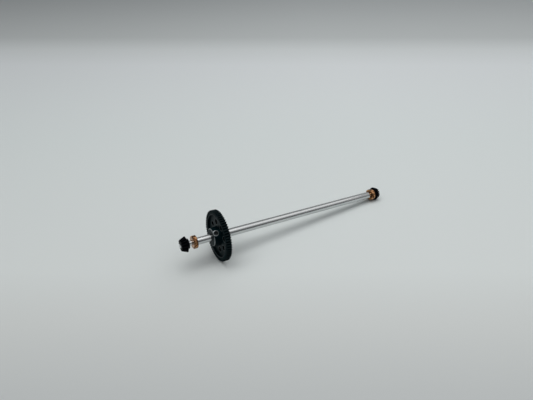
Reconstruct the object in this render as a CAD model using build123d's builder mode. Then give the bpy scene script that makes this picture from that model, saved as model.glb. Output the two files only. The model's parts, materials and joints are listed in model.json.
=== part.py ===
from build123d import *
from math import acos, atan2, cos, pi, radians, sin, tan
import os

# Central drive shaft of a small four-wheel-drive model car. A stepped steel shaft carries a spur
# gear near its short end, a bevel pinion on each end and a bronze bush inside each pinion.
# It lies as it comes to rest on a flat surface: on two teeth of the spur gear and on the rim of
# the long-end pinion. Lengths are in millimetres. Stations are measured along the shaft from
# the gear's front face, and grow towards the long end.

# Shaft diameters and lengths
main_diameter = 5.0
gear_seat_diameter = 4.5
journal_diameter = 3.0
short_section_length = 12.5
long_section_length = 120.7
short_journal_length = 5.0
long_journal_length = 3.75
shaft_end_reach = 0.4
short_shoulder_chamfer = 0.25
long_shoulder_chamfer = 0.6
shaft_end_chamfer = 0.25
journal_flat_depth = 0.4

# Spur gear
gear_teeth = 62
gear_module = 0.5
gear_width = 3.3
gear_root_depth = 1.25
gear_flank_steps = 2
front_recess_depth = 1.4
back_recess_depth = 0.5
rim_inner_diameter = 26.6
boss_diameter = 11.0
boss_base_spread = 0.5
boss_reach = 3.2
boss_edge_chamfer = 0.4
web_hole_count = 8
web_hole_diameter = 3.2
web_hole_circle = 17.8
first_web_hole_angle = 25.0

# Set screw that locks the gear to the shaft
set_screw_diameter = 3.0
set_screw_length = 3.0
set_screw_station = -1.4
set_screw_angle = 122.0
set_screw_seat_depth = 0.15
set_screw_chamfer = 0.25
set_screw_socket_width = 1.5
set_screw_socket_depth = 1.3

# Bevel pinions
pinion_teeth = 14
pinion_module = 0.6
pinion_length = 4.9
pinion_root_depth = 1.2
pinion_flank_steps = 1
pinion_apex_distance = 11.5
pinion_back_length = 1.6
pinion_hub_diameter = 6.0
pinion_hub_length = 0.7
short_end_tooth_angle = 13.0
long_end_tooth_angle = 0.0

# Bronze bushes
bush_diameter = 8.0
bush_thickness = 2.65
bush_clearance = 0.05
bush_side_gap = 0.1
bush_edge_chamfer = 0.3
bush_bore_chamfer = 0.2

pressure_angle = radians(20)


def involute(angle):
    return tan(angle) - angle


def tooth_half_angle(radius, pitch_radius, teeth):
    """Half the angle that a tooth spans at a radius, with involute flanks."""
    base_radius = pitch_radius * cos(pressure_angle)
    flank_angle = acos(base_radius / max(radius, base_radius))
    return pi / (2 * teeth) + involute(pressure_angle) - involute(flank_angle)


def toothed_outline(teeth, radii, flank_steps, first_tooth):
    """Closed outline of a toothed wheel, in straight steps, drawn in the open line builder."""
    root_radius, pitch_radius, tip_radius = radii
    pitch = 2 * pi / teeth
    flank = []
    for step in range(flank_steps + 1):
        radius = root_radius + (tip_radius - root_radius) * step / flank_steps
        flank.append((radius, tooth_half_angle(radius, pitch_radius, teeth)))
    points = []
    for tooth in range(teeth):
        middle = radians(first_tooth) + tooth * pitch
        points += [(radius, middle - half_angle) for radius, half_angle in flank]
        points += [(radius, middle + half_angle) for radius, half_angle in reversed(flank)]
    Polyline(*[(radius * cos(angle), radius * sin(angle)) for radius, angle in points], close=True)


# Radii
main_radius = main_diameter / 2
gear_seat_radius = gear_seat_diameter / 2
journal_radius = journal_diameter / 2
gear_pitch_radius = gear_module * gear_teeth / 2
gear_tip_radius = gear_pitch_radius + gear_module
gear_root_radius = gear_pitch_radius - gear_root_depth * gear_module
gear_radii = (gear_root_radius, gear_pitch_radius, gear_tip_radius)
rim_inner_radius = rim_inner_diameter / 2
boss_radius = boss_diameter / 2
boss_base_radius = boss_radius + boss_base_spread
set_screw_radius = set_screw_diameter / 2
set_screw_seat = gear_seat_radius - set_screw_seat_depth
pinion_pitch_radius = pinion_module * pinion_teeth / 2
pinion_tip_radius = pinion_pitch_radius + pinion_module
pinion_root_radius = pinion_pitch_radius - pinion_root_depth * pinion_module
pinion_radii = (pinion_root_radius, pinion_pitch_radius, pinion_tip_radius)
pinion_hub_radius = pinion_hub_diameter / 2
bush_radius = bush_diameter / 2

# Stations along the shaft
boss_front = -boss_reach
short_shoulder = -short_section_length
long_shoulder = gear_width + long_section_length
short_pinion_back = short_shoulder - short_journal_length
long_pinion_back = long_shoulder + long_journal_length
short_end = short_pinion_back - pinion_length - shaft_end_reach
long_end = long_pinion_back + pinion_length + shaft_end_reach
long_pinion_rim = long_pinion_back + pinion_back_length
short_bush_inner = short_shoulder - bush_side_gap
long_bush_outer = long_pinion_back - bush_side_gap

# Rest pose: two neighbouring teeth of the gear and the rim of the long-end pinion touch the surface
gear_tip_half_angle = tooth_half_angle(gear_tip_radius, gear_pitch_radius, gear_teeth)
gear_rest_radius = gear_tip_radius * cos(pi / gear_teeth - gear_tip_half_angle)
tilt = atan2(gear_rest_radius - pinion_tip_radius, long_pinion_rim - gear_width)
gear_front_height = gear_width * sin(tilt) + gear_rest_radius * cos(tilt)
middle_station = (short_end + long_end) / 2
first_gear_tooth = 180 / gear_teeth - 90

shaft_direction = Vector(cos(tilt), 0, -sin(tilt))
gear_front_point = Vector(-middle_station * cos(tilt), 0, gear_front_height)
shaft_axis = Axis(gear_front_point, shaft_direction)

# Local X is the station and local Y is the distance from the shaft's axis
along = Plane(origin=gear_front_point, x_dir=shaft_direction, z_dir=(0, -1, 0))


def across(station):
    """Plane square to the shaft. Angles on it run from +Y upwards."""
    origin = gear_front_point + shaft_direction * station
    return Plane(origin=origin, x_dir=(0, 1, 0), z_dir=shaft_direction)


def screw_plane(distance):
    """Plane square to the set screw, at a distance from the shaft's axis."""
    section = across(set_screw_station)
    angle = radians(set_screw_angle)
    outward = section.x_dir * cos(angle) + section.y_dir * sin(angle)
    return Plane(section.origin + outward * distance, x_dir=shaft_direction, z_dir=outward)


def journal_outline():
    """Round journal with the flat that turns the pinion, drawn in the open sketch builder."""
    Circle(journal_radius)
    with Locations((0, 2 * journal_radius - journal_flat_depth)):
        Rectangle(2 * journal_radius, 2 * journal_radius, mode=Mode.SUBTRACT)


# Drive shaft: turned steel, stepped down to the gear's seat and to a journal at each end
with BuildPart() as drive_shaft:
    with BuildSketch(along):
        with BuildLine():
            Polyline(
                (short_end, 0),
                (short_end, journal_radius - shaft_end_chamfer),
                (short_end + shaft_end_chamfer, journal_radius),
                (short_shoulder, journal_radius),
                (short_shoulder, gear_seat_radius - short_shoulder_chamfer),
                (short_shoulder + short_shoulder_chamfer, gear_seat_radius),
                (gear_width, gear_seat_radius),
                (gear_width, main_radius),
                (long_shoulder - long_shoulder_chamfer, main_radius),
                (long_shoulder, main_radius - long_shoulder_chamfer),
                (long_shoulder, journal_radius),
                (long_end - shaft_end_chamfer, journal_radius),
                (long_end, journal_radius - shaft_end_chamfer),
                (long_end, 0),
                close=True,
            )
        make_face()
    revolve(axis=shaft_axis)
    for flat_start, flat_end in ((short_end, short_pinion_back), (long_pinion_back, long_end)):
        with BuildSketch(across(flat_start)):
            with Locations((0, 2 * journal_radius - journal_flat_depth)):
                Rectangle(2 * journal_radius, 2 * journal_radius)
        extrude(amount=flat_end - flat_start, mode=Mode.SUBTRACT)
    with BuildSketch(screw_plane(set_screw_seat)):
        Circle(set_screw_radius)
    extrude(amount=set_screw_length, mode=Mode.SUBTRACT)

# Spur gear: one moulding with a toothed rim, a pierced web and a boss that takes the set screw
with BuildPart() as spur_gear:
    with BuildSketch(across(0)):
        with BuildLine():
            toothed_outline(gear_teeth, gear_radii, gear_flank_steps, first_gear_tooth)
        make_face()
    extrude(amount=gear_width)
    with BuildSketch(along):
        with BuildLine():
            Polyline(
                (0, boss_radius),
                (front_recess_depth, boss_radius),
                (front_recess_depth, rim_inner_radius),
                (0, rim_inner_radius),
                close=True,
            )
        make_face()
        with BuildLine():
            Polyline(
                (gear_width - back_recess_depth, boss_radius),
                (gear_width, boss_radius),
                (gear_width, rim_inner_radius),
                (gear_width - back_recess_depth, rim_inner_radius),
                close=True,
            )
        make_face()
    revolve(axis=shaft_axis, mode=Mode.SUBTRACT)
    with BuildSketch(along):
        with BuildLine():
            Polyline(
                (boss_front, 0),
                (boss_front, boss_radius - boss_edge_chamfer),
                (boss_front + boss_edge_chamfer, boss_radius),
                (front_recess_depth, boss_base_radius),
                (front_recess_depth, 0),
                close=True,
            )
        make_face()
    revolve(axis=shaft_axis)
    with BuildSketch(across(0)):
        with PolarLocations(web_hole_circle / 2, web_hole_count, first_web_hole_angle):
            Circle(web_hole_diameter / 2)
    extrude(amount=gear_width, mode=Mode.SUBTRACT)
    with BuildSketch(across(boss_front)):
        Circle(gear_seat_radius)
    extrude(amount=boss_reach + gear_width, mode=Mode.SUBTRACT)
    with BuildSketch(screw_plane(0)):
        Circle(set_screw_radius)
    extrude(amount=boss_radius + set_screw_radius, mode=Mode.SUBTRACT)

# Set screw: it stands in the boss, its tip on the flat seat in the shaft
with BuildPart() as gear_set_screw:
    with BuildSketch(screw_plane(set_screw_seat)):
        Circle(set_screw_radius)
    extrude(amount=set_screw_length)
    chamfer(gear_set_screw.edges().filter_by(GeomType.CIRCLE), set_screw_chamfer)
    with BuildSketch(screw_plane(set_screw_seat + set_screw_length)):
        RegularPolygon(set_screw_socket_width / 2, 6, major_radius=False)
    extrude(amount=-set_screw_socket_depth, mode=Mode.SUBTRACT)


def bevel_pinion(back_station, outward, first_tooth):
    """Bevel pinion: a hub, a back cone, a solid rim and teeth that taper outward from the rim."""
    rim_station = back_station + outward * pinion_back_length
    nose_station = back_station + outward * pinion_length
    nose_share = 1 - (pinion_length - pinion_back_length) / pinion_apex_distance
    with BuildPart() as pinion:
        for station, share in ((rim_station, 1), (nose_station, nose_share)):
            with BuildSketch(across(station)):
                with BuildLine():
                    radii = [share * radius for radius in pinion_radii]
                    toothed_outline(pinion_teeth, radii, pinion_flank_steps, first_tooth)
                make_face()
        loft(ruled=True)
        with BuildSketch(along):
            with BuildLine():
                Polyline(
                    (back_station, 0),
                    (back_station, pinion_hub_radius),
                    (back_station + outward * pinion_hub_length, pinion_hub_radius),
                    (rim_station, pinion_tip_radius),
                    (rim_station, 0),
                    close=True,
                )
            make_face()
        revolve(axis=shaft_axis)
        with BuildSketch(across(back_station)):
            journal_outline()
        extrude(amount=outward * pinion_length, mode=Mode.SUBTRACT)
    return pinion


def bronze_bush(inner_station, outer_station):
    """Plain bush that turns on a journal, its edges broken inside and out."""
    bore_radius = journal_radius + bush_clearance
    with BuildPart() as bush:
        with BuildSketch(along):
            with BuildLine():
                Polyline(
                    (inner_station, bore_radius + bush_bore_chamfer),
                    (inner_station, bush_radius - bush_edge_chamfer),
                    (inner_station + bush_edge_chamfer, bush_radius),
                    (outer_station - bush_edge_chamfer, bush_radius),
                    (outer_station, bush_radius - bush_edge_chamfer),
                    (outer_station, bore_radius + bush_bore_chamfer),
                    (outer_station - bush_bore_chamfer, bore_radius),
                    (inner_station + bush_bore_chamfer, bore_radius),
                    close=True,
                )
            make_face()
        revolve(axis=shaft_axis)
    return bush


pieces = {
    "drive_shaft": drive_shaft,
    "spur_gear": spur_gear,
    "gear_set_screw": gear_set_screw,
    "short_end_bevel_pinion": bevel_pinion(short_pinion_back, -1, short_end_tooth_angle),
    "long_end_bevel_pinion": bevel_pinion(long_pinion_back, 1, long_end_tooth_angle),
    "short_end_bush": bronze_bush(short_bush_inner - bush_thickness, short_bush_inner),
    "long_end_bush": bronze_bush(long_bush_outer - bush_thickness, long_bush_outer),
}

os.makedirs("parts", exist_ok=True)
for name, piece in pieces.items():
    piece.part.label = name
    export_step(piece.part, f"parts/{name}.step")
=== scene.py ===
import json
import math

import bmesh
import bpy
from mathutils import Matrix, Vector


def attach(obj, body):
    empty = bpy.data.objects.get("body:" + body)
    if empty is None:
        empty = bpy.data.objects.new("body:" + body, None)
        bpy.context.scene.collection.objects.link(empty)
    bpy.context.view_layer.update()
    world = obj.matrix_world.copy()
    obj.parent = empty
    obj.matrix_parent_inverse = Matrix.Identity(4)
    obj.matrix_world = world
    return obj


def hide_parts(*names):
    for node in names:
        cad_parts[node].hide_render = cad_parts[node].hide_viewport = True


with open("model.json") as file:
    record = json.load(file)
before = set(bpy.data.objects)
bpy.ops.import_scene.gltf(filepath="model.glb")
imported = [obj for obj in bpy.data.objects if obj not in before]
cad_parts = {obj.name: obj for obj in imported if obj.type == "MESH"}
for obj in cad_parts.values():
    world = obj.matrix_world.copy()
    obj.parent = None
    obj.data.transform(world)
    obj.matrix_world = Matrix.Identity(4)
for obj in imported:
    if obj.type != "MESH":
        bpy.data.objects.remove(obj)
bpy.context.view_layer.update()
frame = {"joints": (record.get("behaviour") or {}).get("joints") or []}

# Sizes in millimetres, the same as the solids'. Stations run along the shaft from the gear's
# front face and grow towards the long end.
main_radius = 2.5
gear_seat_radius = 2.25
journal_radius = 1.5
flat_height = 1.1
short_shoulder = -12.5
short_shoulder_chamfer = 0.25
long_shoulder = 124.0
long_shoulder_chamfer = 0.6
shaft_end_reach = 0.4
shaft_end_chamfer = 0.25

# Spur gear
gear_teeth = 62
gear_module = 0.5
gear_root_depth = 1.25
gear_width = 3.3
recess_floor = 1.4
back_recess_floor = 2.8
rim_inner_radius = 13.3
boss_radius = 5.5
boss_base_radius = 6.0
boss_front = -3.2
boss_edge_chamfer = 0.4
web_hole_radius = 1.6
web_hole_circle_radius = 8.9
web_hole_count = 8
first_web_hole = 25.0

# Set screw, with its lengths measured outward from the shaft's axis
screw_station = -1.4
screw_angle = math.radians(122.0)
screw_radius = 1.5
screw_seat = 2.1
screw_length = 3.0
screw_chamfer = 0.25
socket_width = 1.5
socket_depth = 1.3

# Bevel pinions
pinion_teeth = 14
pinion_module = 0.6
pinion_root_depth = 1.2
pinion_length = 4.9
pinion_back_length = 1.6
pinion_hub_radius = 3.0
pinion_hub_length = 0.7
pinion_apex_distance = 11.5
short_pinion_back = -17.5
long_pinion_back = 127.75
short_end_tooth_angle = 13
long_end_tooth_angle = 0

# Bushes
bush_radius = 4.0
bush_bore_radius = 1.55
bush_thickness = 2.65
bush_gap = 0.1
bush_edge_chamfer = 0.3
bush_bore_chamfer = 0.2

# Radii of the teeth
pressure_angle = math.radians(20)
gear_pitch_radius = gear_module * gear_teeth / 2
gear_tip_radius = gear_module * (gear_teeth / 2 + 1)
gear_root_radius = gear_module * (gear_teeth / 2 - gear_root_depth)
pinion_pitch_radius = pinion_module * pinion_teeth / 2
pinion_rim_radius = pinion_module * (pinion_teeth / 2 + 1)
pinion_root_radius = pinion_module * (pinion_teeth / 2 - pinion_root_depth)

# The shaft's own frame, from the bushes' joints: X is the shaft, Y is level and Z is square to both
joints = {joint["name"]: joint for joint in frame["joints"]}
short_bush_middle = Vector(joints["short_bush_spin"]["pos_m"])
long_bush_middle = Vector(joints["long_bush_spin"]["pos_m"])
shaft_direction = (long_bush_middle - short_bush_middle).normalized()
short_bush_station = short_shoulder - bush_gap - bush_thickness / 2
long_bush_station = long_pinion_back - bush_gap - bush_thickness / 2
gear_front = short_bush_middle - shaft_direction * short_bush_station / 1000
upward = shaft_direction.cross(Vector((0, 1, 0)))
shaft_turn = Matrix((shaft_direction, (0, 1, 0), upward)).transposed()
shaft_frame = Matrix.Translation(gear_front) @ shaft_turn.to_4x4() @ Matrix.Scale(0.001, 4)

# The camera, as fitted to the photograph: it looks 34 degrees down and, from square to the shaft,
# 30 degrees towards the long end. The lens is 27 mm on a 36 mm sensor.
sensor_width = 36
image_width = 533
focal_pixels = 400
camera_place = Vector((-0.12243, -0.17858, 0.17114))
camera_heading = math.radians(-29.97)
camera_drop = math.radians(34.26)


def add_camera():
    camera = bpy.data.cameras.new("camera")
    camera.sensor_width = sensor_width
    camera.lens = sensor_width * focal_pixels / image_width
    camera.clip_start = 0.005
    holder = bpy.data.objects.new("camera", camera)
    holder.location = camera_place
    holder.rotation_euler = (math.pi / 2 - camera_drop, 0, camera_heading)
    bpy.context.scene.collection.objects.link(holder)
    bpy.context.scene.camera = holder


class Nodes:
    """Short ways to add shader nodes to one material or world."""

    def __init__(self, owner):
        owner.use_nodes = True
        self.tree = owner.node_tree
        self.tree.nodes.clear()

    def add(self, kind, values=None, **settings):
        node = self.tree.nodes.new("ShaderNode" + kind)
        for name, value in settings.items():
            setattr(node, name, value)
        for socket, value in (values or {}).items():
            self.feed(node.inputs[socket], value)
        return node

    def feed(self, socket, value):
        """Link a socket to another, or set it to a plain value."""
        if isinstance(value, bpy.types.NodeSocket):
            self.tree.links.new(value, socket)
        else:
            socket.default_value = value

    def place(self, scale, from_gear=False):
        """Object coordinates turned into the shaft's frame, then scaled."""
        turn = shaft_turn.inverted().to_euler()
        place = self.add("TexCoord").outputs["Object"]
        if from_gear:
            place = self.add("VectorMath", {0: place, 1: gear_front}, operation="SUBTRACT").outputs[0]
        turned = self.add("Mapping", {"Vector": place, "Rotation": turn}).outputs[0]
        return self.add("Mapping", {"Vector": turned, "Scale": scale}).outputs[0]

    def noise(self, scale, detail=3.0, roughness=0.5):
        return self.add(
            "TexNoise",
            {"Vector": self.place(scale), "Scale": 1.0, "Detail": detail, "Roughness": roughness},
        ).outputs[0]

    def ramp(self, factor, stops):
        node = self.add("ValToRGB", {0: factor})
        elements = node.color_ramp.elements
        while len(elements) < len(stops):
            elements.new(0.5)
        for element, (position, color) in zip(elements, stops):
            element.position = position
            element.color = (*color, 1)
        return node.outputs[0]

    def multiply(self, first, second):
        values = {"Factor": 1.0, "A": first, "B": second}
        return self.blend(values, data_type="RGBA", blend_type="MULTIPLY")

    def mix(self, factor, first, color):
        return self.blend({"Factor": factor, "A": first, "B": (*color, 1)}, data_type="RGBA")

    def blend(self, values, **settings):
        node = self.add("Mix", **settings)
        for name, value in values.items():
            self.feed(node.inputs[name], value)
        return node.outputs["Result"]

    def compute(self, operation, *values, **settings):
        return self.add("Math", dict(enumerate(values)), operation=operation, **settings).outputs[0]

    def scaled(self, value, factor):
        return self.compute("MULTIPLY", value, factor)

    def less(self, value, amount):
        return self.compute("SUBTRACT", value, amount)

    def stronger(self, first, second):
        return self.compute("MAXIMUM", first, second, use_clamp=True)

    def vector(self, x, y):
        return self.add("CombineXYZ", {0: x, 1: y}).outputs[0]

    def length(self, x, y):
        return self.add("VectorMath", {0: self.vector(x, y)}, operation="LENGTH").outputs["Value"]

    def dot(self, vector, direction):
        return self.add("VectorMath", {0: vector, 1: direction}, operation="DOT_PRODUCT").outputs["Value"]

    def fade(self, value, start, end, first=0, last=1):
        """The first number up to start, the last from end on, and a straight line between."""
        return self.add("MapRange", {0: value, 1: start, 2: end, 3: first, 4: last}).outputs[0]

    def span(self, value, low, high):
        """Spreads the middle part of 0 to 1, where a noise mostly lies, over low to high."""
        return self.fade(value, 0.3, 0.7, low, high)

    def band(self, value, middle, half):
        """1 at the middle value, fading to 0 at half either side."""
        distance = self.compute("ABSOLUTE", self.less(value, middle))
        return self.fade(distance, 0, half, 1, 0)

    def edge(self, first_band, second_band, strength):
        """Where two bands cross, as along an edge."""
        return self.scaled(self.scaled(first_band, second_band), strength)

    def finish(self, base, roughness, height, bump, **settings):
        """Surface with fine relief, its depth in metres, and any other input by its name."""
        normal = self.add("Bump", {"Strength": 1.0, "Distance": bump, "Height": height})
        shader = self.add(
            "BsdfPrincipled",
            {"Base Color": base, "Roughness": roughness, "Normal": normal.outputs[0]},
        )
        for name, value in settings.items():
            self.feed(shader.inputs[name.replace("_", " ")], value)
        self.add("OutputMaterial", {"Surface": shader.outputs[0]})


def grey(value):
    return (value, value, value)


def steel():
    """Ground and polished steel: fine marks round the shaft and a few cloudy smears."""
    material = bpy.data.materials.new("polished_steel")
    nodes = Nodes(material)
    marks = nodes.noise((9000, 60, 60), 4, 0.6)
    smears = nodes.noise((120, 260, 260), 3)
    base = nodes.ramp(smears, [(0.3, (0.55, 0.565, 0.57)), (0.7, (0.63, 0.64, 0.64))])
    roughness = nodes.compute("ADD", nodes.span(marks, 0.1, 0.17), nodes.span(smears, 0, 0.07))
    nodes.finish(base, roughness, marks, 0.0000012, Metallic=1)
    return material


def dark_steel():
    """Blackened steel of the set screw."""
    material = bpy.data.materials.new("dark_steel")
    nodes = Nodes(material)
    grain = nodes.noise((5200, 5200, 5200), 3, 0.6)
    base = nodes.ramp(grain, [(0.3, (0.03, 0.038, 0.04)), (0.7, (0.085, 0.095, 0.098))])
    nodes.finish(base, nodes.span(grain, 0.24, 0.4), grain, 0.000004, Metallic=1)
    return material


def web_hole_distance(nodes, level, height, radius):
    """Distance from the middle of the nearest web hole, in the gear's plane."""
    half = math.pi / web_hole_count
    angle = nodes.less(nodes.compute("ARCTAN2", height, level), math.radians(first_web_hole))
    nearest = nodes.compute("WRAP", angle, half, -half)
    out = nodes.less(nodes.scaled(nodes.compute("COSINE", nearest), radius), web_hole_circle_radius)
    side = nodes.scaled(nodes.compute("SINE", nearest), radius)
    return nodes.length(out, side)


def screw_axis_distance(nodes, station, level, height):
    """Distance from the set screw's axis, which runs outward across the shaft."""
    sideways = (-math.sin(screw_angle), math.cos(screw_angle), 0)
    side = nodes.dot(nodes.vector(level, height), sideways)
    return nodes.length(nodes.less(station, screw_station), side)


def moulding():
    """Black nylon: duller on the rim, with painted highlights round the boss, the screw hole, the rim's
    inner edge, the web holes' edges and the tooth tips, and painted shade inside the web holes.
    """
    material = bpy.data.materials.new("black_moulding")
    nodes = Nodes(material)
    grain = nodes.noise((5200, 5200, 5200), 3, 0.6)
    cloud = nodes.noise((420, 420, 420), 4)
    patches = nodes.noise((330, 330, 330), 2)
    place = nodes.add("SeparateXYZ", {0: nodes.place((1000, 1000, 1000), True)})
    station, level, height = place.outputs
    radius = nodes.length(level, height)
    from_screw = screw_axis_distance(nodes, station, level, height)
    from_hole = web_hole_distance(nodes, level, height, radius)

    rim = nodes.fade(radius, rim_inner_radius - 0.4, rim_inner_radius + 0.2)
    # Painted highlight: the tooth tips are lighter, to show light along the teeth.
    land = nodes.fade(radius, gear_tip_radius - 0.4, gear_tip_radius - 0.2)
    # Painted shade: the walls of the web holes are darker and reflect less.
    inside = nodes.fade(from_hole, web_hole_radius + 0.02, web_hole_radius + 0.08, 1, 0)
    # Painted highlights: a light, partly metallic ring on the boss's front edge, broken up by noise, and
    # another round the screw hole.
    boss_edge_highlight = nodes.edge(
        nodes.band(radius, boss_radius - 0.2, 0.3), nodes.band(station, boss_front + 0.2, 0.3), 2.8
    )
    boss_edge_highlight = nodes.scaled(boss_edge_highlight, nodes.span(patches, 0.15, 1))
    screw_ring_highlight = nodes.edge(
        nodes.band(from_screw, screw_radius + 0.08, 0.3), nodes.band(radius, boss_radius, 0.4), 2.8
    )
    # Painted highlights: pale lines along the rim's inner edge and round the web holes' mouths.
    rim_edge_highlight = nodes.edge(
        nodes.band(radius, rim_inner_radius + 0.05, 0.3), nodes.band(station, 0.1, 0.35), 0.6
    )
    hole_edge_highlight = nodes.edge(
        nodes.band(from_hole, web_hole_radius + 0.15, 0.35), nodes.band(station, recess_floor, 0.35), 0.5
    )
    painted_highlight = nodes.stronger(boss_edge_highlight, screw_ring_highlight)
    painted_pale_edges = nodes.stronger(rim_edge_highlight, hole_edge_highlight)

    base = nodes.ramp(cloud, [(0.35, (0.0006, 0.0045, 0.0062)), (0.75, (0.002, 0.011, 0.014))])
    base = nodes.mix(nodes.scaled(land, 0.5), base, (0.02, 0.022, 0.023))
    base = nodes.mix(painted_pale_edges, base, (0.2, 0.23, 0.24))
    base = nodes.mix(inside, base, (0.0003, 0.0006, 0.0008))
    base = nodes.mix(painted_highlight, base, (0.38, 0.41, 0.42))
    dull = nodes.compute("ADD", nodes.span(cloud, 0.34, 0.46), nodes.scaled(rim, 0.22))
    nodes.finish(
        base,
        nodes.less(dull, nodes.scaled(painted_highlight, 0.2)),
        grain,
        0.000004,
        Metallic=nodes.scaled(painted_highlight, 0.4),
        Specular_IOR_Level=nodes.span(inside, 0.058, 0.01),
        Specular_Tint=nodes.ramp(painted_highlight, [(0.0, (0.3, 0.9, 1.0)), (0.4, grey(1.0))]),
    )
    return material


def black_pinion():
    """Satin black with a fine grain."""
    material = bpy.data.materials.new("black_pinion")
    nodes = Nodes(material)
    grain = nodes.noise((6400, 6400, 6400), 3, 0.6)
    cloud = nodes.noise((900, 900, 900), 4)
    base = nodes.ramp(cloud, [(0.35, (0.001, 0.0016, 0.0026)), (0.75, (0.003, 0.0042, 0.0062))])
    nodes.finish(base, nodes.span(cloud, 0.36, 0.52), grain, 0.000004, Specular_IOR_Level=0.05)
    return material


def bronze():
    """Sintered bronze with oil in its pores: coppery, speckled and darker in patches."""
    material = bpy.data.materials.new("bronze")
    nodes = Nodes(material)
    pores = nodes.noise((7000, 7000, 7000), 4, 0.7)
    cloud = nodes.noise((700, 700, 700), 4)
    tint = nodes.ramp(cloud, [(0.42, (0.11, 0.042, 0.018)), (0.58, (0.85, 0.46, 0.22))])
    speckle = nodes.ramp(pores, [(0.38, grey(0.4)), (0.54, grey(1.0))])
    base = nodes.multiply(tint, speckle)
    nodes.finish(base, nodes.span(cloud, 0.14, 0.06), pores, 0.0000015, Metallic=1)
    return material


def add_floor():
    """Pale sheet with painted shade, as in the photograph: palest beyond the object and darker far behind.
    """
    bpy.ops.mesh.primitive_plane_add(size=6, location=(0, 0, 0))
    floor = bpy.context.object
    floor.name = "floor"
    material = bpy.data.materials.new("floor")
    nodes = Nodes(material)
    place = nodes.add("TexCoord").outputs["Object"]
    turned = nodes.add("Mapping", {"Vector": place, "Rotation": (0, 0, -camera_heading)})
    split = nodes.add("SeparateXYZ", {0: turned.outputs[0]})
    depth = nodes.fade(split.outputs["Y"], -0.12, 1.2)
    side = nodes.fade(split.outputs["X"], -0.9, 0.9)
    # Painted shade: the floor darkens near the camera, far behind and towards the left.
    along = nodes.ramp(
        depth,
        [
            (0.0, (0.65, 0.68, 0.677)),
            (0.03, (0.76, 0.79, 0.778)),
            (0.06, (0.84, 0.885, 0.875)),
            (0.2, (0.87, 0.93, 0.925)),
            (0.39, (0.94, 0.985, 1.0)),
            (0.46, (0.88, 0.925, 0.93)),
            (0.53, (0.72, 0.76, 0.76)),
            (0.85, (0.68, 0.72, 0.725)),
        ],
    )
    across = nodes.ramp(side, [(0.0, grey(0.82)), (0.33, grey(0.89)), (0.55, grey(0.99)), (1.0, grey(1.0))])
    base = nodes.multiply(along, across)
    values = {"Base Color": base, "Roughness": 0.6, "Specular IOR Level": 0.3}
    shader = nodes.add("BsdfPrincipled", values)
    nodes.add("OutputMaterial", {"Surface": shader.outputs[0]})
    floor.data.materials.append(material)


def add_light(name, place, size, power, aim):
    light = bpy.data.lights.new(name, "AREA")
    light.shape = "RECTANGLE"
    light.size, light.size_y = size
    light.energy = power
    holder = bpy.data.objects.new(name, light)
    holder.location = place
    holder.rotation_euler = (Vector(place) - Vector(aim)).to_track_quat("Z", "Y").to_euler()
    bpy.context.scene.collection.objects.link(holder)


def add_world():
    """Soft light, brightest above and towards the long end, that fades to a dim horizon."""
    world = bpy.data.worlds.new("world")
    bpy.context.scene.world = world
    nodes = Nodes(world)
    ceiling_middle = Vector((0.5, 0, 0.85)).normalized()
    sky = nodes.ramp(
        nodes.dot(nodes.add("TexCoord").outputs["Generated"], ceiling_middle),
        [
            (0.0, (0.09, 0.092, 0.094)),
            (0.38, (0.11, 0.113, 0.116)),
            (0.5, (0.2, 0.204, 0.208)),
            (0.6, (0.28, 0.285, 0.29)),
            (0.78, (0.48, 0.485, 0.49)),
            (1.0, (0.5, 0.505, 0.51)),
        ],
    )
    background = nodes.add("Background", {"Color": sky, "Strength": 0.92})
    nodes.add("OutputWorld", {"Surface": background.outputs[0]})


def spin(count):
    return [2 * math.pi * step / count for step in range(count)]


def circle(station, radius, angles):
    return [(station, radius, angle) for angle in angles]


def flattened(station, radius, angles):
    """A circle with the journal's flat across its top."""
    ring = []
    for angle in angles:
        reach = radius
        if radius * math.sin(angle) > flat_height:
            reach = flat_height / math.sin(angle)
        ring.append((station, reach, angle))
    return ring


def rounded(corners, segments=3):
    """Profile points (station, radius), with a corner rounded where it has a third number."""
    points = []
    for index, (x, y, *size) in enumerate(corners):
        if not size:
            points.append((x, y))
            continue
        corner = Vector((x, y))
        before = Vector(corners[index - 1][:2]) - corner
        after = Vector(corners[(index + 1) % len(corners)][:2]) - corner
        start = corner + before.normalized() * size[0]
        end = corner + after.normalized() * size[0]
        for step in range(segments + 1):
            t = step / segments
            point = start * (1 - t) ** 2 + corner * 2 * t * (1 - t) + end * t * t
            points.append((point.x, point.y))
    return points


def ring_mesh(name, rings, closed):
    """Mesh through rings of (station, radius, angle), closed on itself or capped at both ends."""
    mesh = bmesh.new()
    loops = [
        [mesh.verts.new((x, r * math.cos(a), r * math.sin(a))) for x, r, a in ring] for ring in rings
    ]
    pairs = list(zip(loops, loops[1:]))
    if closed:
        pairs.append((loops[-1], loops[0]))
    for one, two in pairs:
        for index in range(len(one)):
            after = (index + 1) % len(one)
            mesh.faces.new((one[index], one[after], two[after], two[index]))
    if not closed:
        mesh.faces.new(loops[0][::-1])
        mesh.faces.new(loops[-1])
    bmesh.ops.recalc_face_normals(mesh, faces=mesh.faces)
    data = bpy.data.meshes.new(name)
    mesh.to_mesh(data)
    mesh.free()
    item = bpy.data.objects.new(name, data)
    bpy.context.scene.collection.objects.link(item)
    return item


def cut(item, cutter):
    modifier = item.modifiers.new("cut", "BOOLEAN")
    modifier.operation = "DIFFERENCE"
    modifier.solver = "EXACT"
    modifier.object = cutter
    bpy.context.view_layer.objects.active = item
    bpy.ops.object.modifier_apply(modifier="cut")
    bpy.data.objects.remove(cutter)


def place_piece(item, node, material, body="shaft_assembly"):
    """Moves a piece from the shaft's frame into the part's, hands it to its body and hides the CAD node it
    stands in for.
    """
    item.data.transform(shaft_frame)
    item.data.shade_smooth()
    item.data.set_sharp_from_angle(angle=math.radians(28))
    item.data.materials.append(material)
    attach(item, body)
    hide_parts(node)


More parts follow.
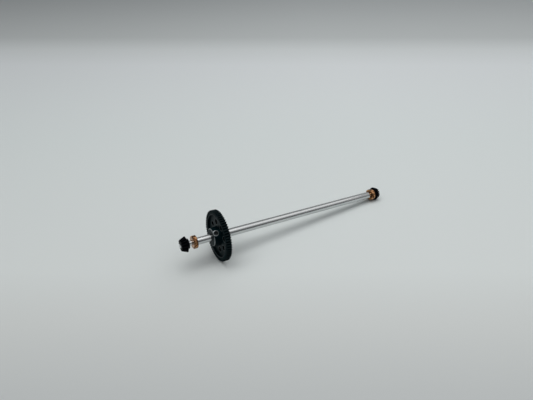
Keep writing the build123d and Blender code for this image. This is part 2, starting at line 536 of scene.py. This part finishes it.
def tooth_half(radius, pitch_radius, teeth):
    """Half the angle that a tooth with involute flanks takes up at a radius."""
    base = pitch_radius * math.cos(pressure_angle)
    flank = math.acos(base / max(radius, base))
    return math.pi / (2 * teeth) + math.tan(pressure_angle) - pressure_angle - math.tan(flank) + flank


def tooth_line(teeth, root, pitch_radius, tip, first):
    """Outline (radius, angle) of a toothed wheel, with softened corners at its roots and tips."""
    pitch = 2 * math.pi / teeth
    depth = tip - root
    gap_half = pitch / 2 - tooth_half(root, pitch_radius, teeth)
    # Shares of the gap's floor and of the tip that stay flat, between softened corners
    flat_of_floor = 0.55
    flat_of_tip = 0.7
    # Half a tooth, from the middle of the gap beside it to its own middle
    half = [(root, pitch / 2), (root, pitch / 2 - gap_half * flat_of_floor)]
    for share in (0.12, 0.3, 0.5, 0.7, 0.86, 0.95):
        radius = root + depth * share
        half.append((radius, tooth_half(radius, pitch_radius, teeth)))
    land = tooth_half(tip, pitch_radius, teeth)
    half += [(tip, land * flat_of_tip), (tip, 0)]
    outline = []
    for tooth in range(teeth):
        middle = math.radians(first) + tooth * pitch
        outline += [(r, middle - a) for r, a in half]
        outline += [(r, middle + a) for r, a in half[-2:0:-1]]
    return outline


def build_gear():
    """Spur gear: boss, web recessed from both sides, rim and teeth, then its holes."""
    first_tooth = 180 / gear_teeth - 90
    outline = tooth_line(gear_teeth, gear_root_radius, gear_pitch_radius, gear_tip_radius, first_tooth)
    angles = [angle for _, angle in outline]
    rim = rim_inner_radius
    # The rim's flat faces end a little inside the gaps between the teeth
    rim_face = gear_root_radius - 0.35
    # Each profile runs between the bore and the teeth, over one side of the gear
    front = rounded(
        [
            (-1, gear_seat_radius),
            (boss_front, gear_seat_radius, 0.12),
            (boss_front, boss_radius - boss_edge_chamfer, 0.1),
            (boss_front + boss_edge_chamfer, boss_radius, 0.15),
            (recess_floor, boss_base_radius, 0.4),
            (recess_floor, rim, 0.4),
            (0, rim, 0.15),
            (0, rim_face),
        ]
    )
    back = rounded(
        [
            (gear_width, rim_face),
            (gear_width, rim, 0.1),
            (back_recess_floor, rim, 0.15),
            (back_recess_floor, boss_radius, 0.15),
            (gear_width, boss_radius, 0.1),
            (gear_width, gear_seat_radius, 0.12),
            (1, gear_seat_radius),
        ]
    )
    # Both faces of the teeth have a small rounded edge: distance from the face, and inset
    edge = ((0, 0.09), (0.03, 0.03), (0.1, 0))
    rings = [circle(x, r, angles) for x, r in front]
    rings += [[(distance, r - inset, a) for r, a in outline] for distance, inset in edge]
    rings += [[(gear_width - distance, r - inset, a) for r, a in outline] for distance, inset in edge[::-1]]
    rings += [circle(x, r, angles) for x, r in back]
    gear = ring_mesh("gear", rings, True)
    drill_web_holes(gear)
    drill_screw_hole(gear)
    return gear


def drill_web_holes(gear):
    """Round holes through the web, each with a bevel that runs out just past either face."""
    bevel = 0.1
    past = 0.02
    wide = web_hole_radius + bevel
    profile = [
        (recess_floor - 1, wide),
        (recess_floor - past, wide),
        (recess_floor + bevel, web_hole_radius),
        (back_recess_floor - bevel, web_hole_radius),
        (back_recess_floor + past, wide),
        (gear_width + 1, wide),
    ]
    for index in range(web_hole_count):
        angle = math.radians(first_web_hole + index * 360 / web_hole_count)
        middle = (0, web_hole_circle_radius * math.cos(angle), web_hole_circle_radius * math.sin(angle))
        cutter = ring_mesh("hole", [circle(x, r, spin(48)) for x, r in profile], False)
        cutter.data.transform(Matrix.Translation(middle))
        cut(gear, cutter)


def drill_screw_hole(gear):
    """The set screw's hole, from inside the bore to past the boss."""
    cutter = ring_mesh("hole", [circle(x, screw_radius, spin(64)) for x in (1, 7)], False)
    cutter.data.transform(screw_matrix())
    cut(gear, cutter)


def screw_matrix():
    """Turns a piece built along +X so that it stands on the shaft's axis along the set screw."""
    outward = Vector((0, math.cos(screw_angle), math.sin(screw_angle)))
    sideways = Vector((1, 0, 0))
    turn = Matrix((outward, sideways, outward.cross(sideways))).transposed()
    return Matrix.Translation((screw_station, 0, 0)) @ turn.to_4x4()


def build_screw():
    """Set screw with a hexagonal socket in its outer end."""
    angles = spin(96)
    end = screw_seat + screw_length
    half = socket_width / 2
    around_socket = half * 1.35
    socket_bevel = 0.06
    socket_point = 0.2

    def hexagon(station, reach):
        ring = []
        for angle in angles:
            local = (angle + math.pi / 6) % (math.pi / 3) - math.pi / 6
            ring.append((station, reach / math.cos(local), angle))
        return ring

    profile = rounded(
        [
            (screw_seat, 0.4),
            (screw_seat, screw_radius - screw_chamfer, 0.05),
            (screw_seat + screw_chamfer, screw_radius, 0.05),
            (end - screw_chamfer, screw_radius, 0.08),
            (end, screw_radius - screw_chamfer, 0.08),
            (end, around_socket),
        ]
    )
    rings = [circle(x, r, angles) for x, r in profile]
    rings.append(hexagon(end, half + socket_bevel))
    rings.append(hexagon(end - socket_bevel, half))
    rings.append(hexagon(end - socket_depth, half))
    rings.append(circle(end - socket_depth - socket_point, 0.1, angles))
    screw = ring_mesh("set_screw", rings, False)
    screw.data.transform(screw_matrix())
    return screw


def build_shaft():
    """Stepped shaft, with a flat along each journal under its pinion."""
    short_end = short_pinion_back - pinion_length - shaft_end_reach
    long_end = long_pinion_back + pinion_length + shaft_end_reach
    flat_runout = 0.02
    profile = rounded(
        [
            (short_end, 0.3),
            (short_end, journal_radius - shaft_end_chamfer, 0.1),
            (short_end + shaft_end_chamfer, journal_radius, 0.1),
            (short_pinion_back - flat_runout, journal_radius),
            (short_pinion_back, journal_radius),
            (short_shoulder, journal_radius),
            (short_shoulder, gear_seat_radius - short_shoulder_chamfer, 0.08),
            (short_shoulder + short_shoulder_chamfer, gear_seat_radius, 0.08),
            (gear_width, gear_seat_radius),
            (gear_width, main_radius, 0.1),
            (long_shoulder - long_shoulder_chamfer, main_radius, 0.2),
            (long_shoulder, main_radius - long_shoulder_chamfer, 0.2),
            (long_shoulder, journal_radius),
            (long_pinion_back, journal_radius),
            (long_pinion_back + flat_runout, journal_radius),
            (long_end - shaft_end_chamfer, journal_radius, 0.1),
            (long_end, journal_radius - shaft_end_chamfer, 0.1),
            (long_end, 0.3),
        ]
    )
    rings = []
    for station, radius in profile:
        under_short_pinion = station < short_pinion_back - flat_runout / 2
        under_long_pinion = station > long_pinion_back + flat_runout / 2
        shape = flattened if under_short_pinion or under_long_pinion else circle
        rings.append(shape(station, radius, spin(160)))
    return ring_mesh("shaft", rings, False)


def build_bush(middle):
    """Plain bush with chamfered edges and bore."""
    low, high = middle - bush_thickness / 2, middle + bush_thickness / 2
    bore = bush_bore_radius
    profile = rounded(
        [
            (low + bush_bore_chamfer, bore, 0.05),
            (low, bore + bush_bore_chamfer, 0.05),
            (low, bush_radius - bush_edge_chamfer, 0.08),
            (low + bush_edge_chamfer, bush_radius, 0.08),
            (high - bush_edge_chamfer, bush_radius, 0.08),
            (high, bush_radius - bush_edge_chamfer, 0.08),
            (high, bore + bush_bore_chamfer, 0.05),
            (high - bush_bore_chamfer, bore, 0.05),
        ]
    )
    return ring_mesh("bush", [circle(x, r, spin(128)) for x, r in profile], True)


def build_pinion(back, outward, first):
    """Bevel pinion: hub, back cone, rim, and teeth whose gaps run out just short of the rim."""
    outline = tooth_line(pinion_teeth, pinion_root_radius, pinion_pitch_radius, pinion_rim_radius, first)
    angles = [angle for _, angle in outline]
    rim = back + outward * pinion_back_length
    nose = back + outward * pinion_length
    nose_share = 1 - (pinion_length - pinion_back_length) / pinion_apex_distance
    nose_radius = pinion_root_radius * nose_share - 0.25
    hub = rounded(
        [
            (0, journal_radius),
            (0, pinion_hub_radius, 0.12),
            (pinion_hub_length, pinion_hub_radius, 0.12),
            (pinion_back_length, pinion_rim_radius, 0.08),
            (pinion_back_length + 0.2, pinion_rim_radius - 0.2),
        ]
    )
    # Rings of the teeth: distance from the rim, share of the teeth's depth, and inset
    length = pinion_length - pinion_back_length
    tooth_rings = [
        (0.06, 0, 0.02),
        (0.09, 0.75, 0.02),
        (0.13, 1, 0.01),
        (length - 0.1, 1, 0),
        (length - 0.03, 1, 0.03),
        (length, 1, 0.1),
    ]
    rings = [flattened(back, journal_radius, angles)]
    rings += [circle(back + outward * x, r, angles) for x, r in hub[1:-1]]
    for distance, depth, inset in tooth_rings:
        share = 1 - distance / pinion_apex_distance
        ring = []
        for r, a in outline:
            radius = pinion_rim_radius - (pinion_rim_radius - r) * depth
            ring.append((rim + outward * distance, share * radius - inset, a))
        rings.append(ring)
    rings.append(circle(nose, nose_radius, angles))
    rings.append(flattened(nose, journal_radius, angles))
    return ring_mesh("pinion", rings, True)


add_camera()
add_floor()
add_world()
add_light("overhead", (0.45, -0.12, 1.0), (1.6, 0.9), 2.6, aim=(0.45, -0.12, 0))
add_light("left_ceiling", (-0.4, 0.05, 1.1), (0.72, 1.3), 4.9, aim=(-0.2, 0.05, 0))

polished = steel()
pinion_black = black_pinion()
bush_bronze = bronze()
place_piece(build_shaft(), "drive_shaft", polished)
place_piece(build_screw(), "gear_set_screw", dark_steel())
place_piece(build_gear(), "spur_gear", moulding())
short_pinion = build_pinion(short_pinion_back, -1, short_end_tooth_angle)
place_piece(short_pinion, "short_end_bevel_pinion", pinion_black)
long_pinion = build_pinion(long_pinion_back, 1, long_end_tooth_angle)
place_piece(long_pinion, "long_end_bevel_pinion", pinion_black)
place_piece(build_bush(short_bush_station), "short_end_bush", bush_bronze, "short_bush")
place_piece(build_bush(long_bush_station), "long_end_bush", bush_bronze, "long_bush")

bpy.context.scene.view_settings.view_transform = "Standard"
